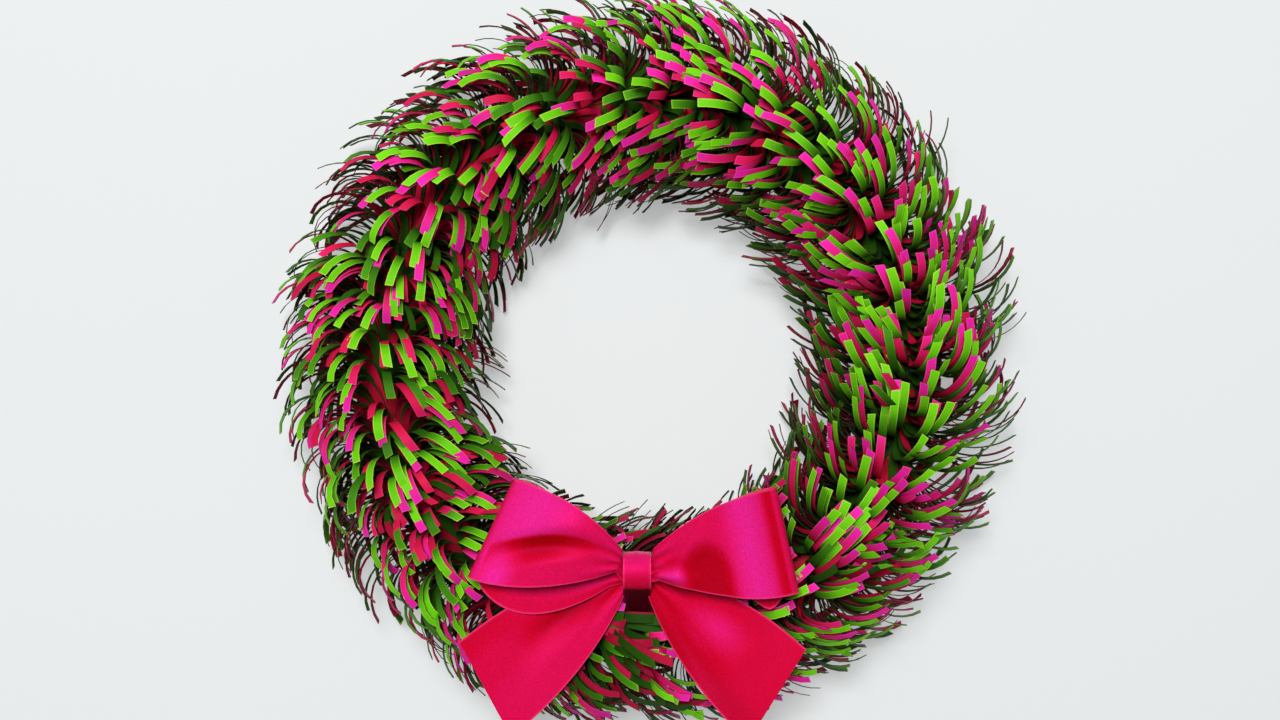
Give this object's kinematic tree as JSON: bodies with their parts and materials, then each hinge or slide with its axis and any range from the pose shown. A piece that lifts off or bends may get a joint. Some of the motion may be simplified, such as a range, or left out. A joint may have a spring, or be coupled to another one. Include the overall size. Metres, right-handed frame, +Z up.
{
  "type": "paper wreath",
  "caption": "Round hanging wreath of curled paper fringe wound round a hoop, with a satin ribbon bow at the bottom.",
  "frame": {"origin": "top of the hoop's inner side, the place where a nail or a hook carries the hanging wreath", "axes": "+Z up; the front faces -Y and the wall lies on the +Y side; +X to the right seen from the front"},
  "size_m": [0.3738, 0.0902, 0.3758],
  "materials": {
    "core_card": "matt rolled paper",
    "green_paper": "matt coloured paper with light cut edges",
    "pink_paper": "matt coloured paper",
    "satin_ribbon": "double-faced satin with a woven edge"
  },
  "bodies": {
    "root": {"core_ring": "core_card", "green_fringe_01": "green_paper", "green_fringe_02": "green_paper", "green_fringe_03": "green_paper", "green_fringe_04": "green_paper", "green_fringe_05": "green_paper", "green_fringe_06": "green_paper", "green_fringe_07": "green_paper", "green_fringe_08": "green_paper", "green_fringe_09": "green_paper", "green_fringe_10": "green_paper", "green_fringe_11": "green_paper", "green_fringe_12": "green_paper", "green_fringe_13": "green_paper", "green_fringe_14": "green_paper", "green_fringe_15": "green_paper", "green_fringe_16": "green_paper", "green_fringe_17": "green_paper", "green_fringe_18": "green_paper", "green_fringe_19": "green_paper", "green_fringe_20": "green_paper", "green_fringe_21": "green_paper", "green_fringe_22": "green_paper", "green_fringe_23": "green_paper", "green_fringe_24": "green_paper", "pink_fringe_01": "pink_paper", "pink_fringe_02": "pink_paper", "pink_fringe_03": "pink_paper", "pink_fringe_04": "pink_paper", "pink_fringe_05": "pink_paper", "pink_fringe_06": "pink_paper", "pink_fringe_07": "pink_paper", "pink_fringe_08": "pink_paper", "pink_fringe_09": "pink_paper", "pink_fringe_10": "pink_paper", "pink_fringe_11": "pink_paper", "pink_fringe_12": "pink_paper", "pink_fringe_13": "pink_paper", "pink_fringe_14": "pink_paper", "pink_fringe_15": "pink_paper", "pink_fringe_16": "pink_paper", "pink_fringe_17": "pink_paper", "pink_fringe_18": "pink_paper", "pink_fringe_19": "pink_paper", "pink_fringe_20": "pink_paper", "pink_fringe_21": "pink_paper", "pink_fringe_22": "pink_paper", "pink_fringe_23": "pink_paper", "bow_loops": "satin_ribbon", "bow_tails": "satin_ribbon", "bow_knot": "satin_ribbon"}
  },
  "joints": []
}
